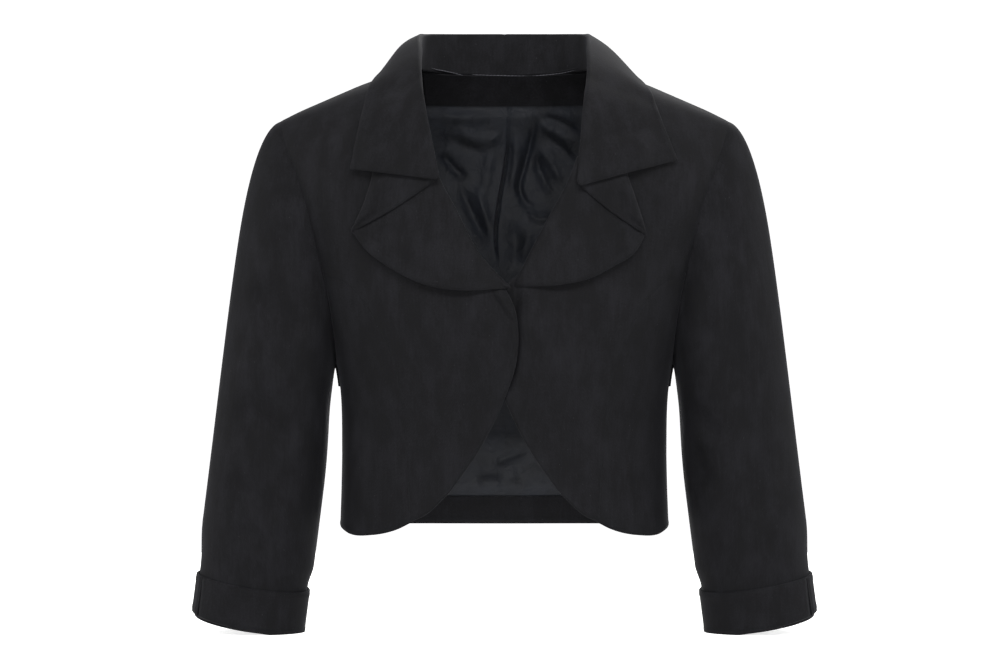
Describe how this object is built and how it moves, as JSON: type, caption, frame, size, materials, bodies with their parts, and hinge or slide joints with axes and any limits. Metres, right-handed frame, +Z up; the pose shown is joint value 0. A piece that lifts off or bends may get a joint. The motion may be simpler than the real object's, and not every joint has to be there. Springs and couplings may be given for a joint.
{
  "type": "cropped blazer",
  "caption": "Cropped black blazer with wide notched lapels, cutaway front and turned-back cuffs, filled out as if worn.",
  "frame": {"origin": "on the centre plane under the neck, level with the shoulders, where a hanger or a body carries the jacket", "axes": "+X to the wearer's left, -Y the way the wearer faces, +Z up"},
  "size_m": [0.5486, 0.226, 0.5309],
  "materials": {
    "suiting": "matt black fine-woven suiting",
    "satin_lining": "blue-black satin"
  },
  "bodies": {
    "root": {"back_left": "suiting", "back_right": "suiting", "collar_left": "suiting", "collar_right": "suiting", "cuff_left": "suiting", "cuff_right": "suiting", "front_left": "suiting", "front_right": "suiting", "hem_facing": "suiting", "lapel_left": "suiting", "lapel_right": "suiting", "lining_left": "satin_lining", "lining_right": "satin_lining", "neck_facing": "suiting", "side_front_left": "suiting", "side_front_right": "suiting", "top_sleeve_left": "suiting", "top_sleeve_right": "suiting", "under_sleeve_left": "suiting", "under_sleeve_right": "suiting"}
  },
  "joints": []
}
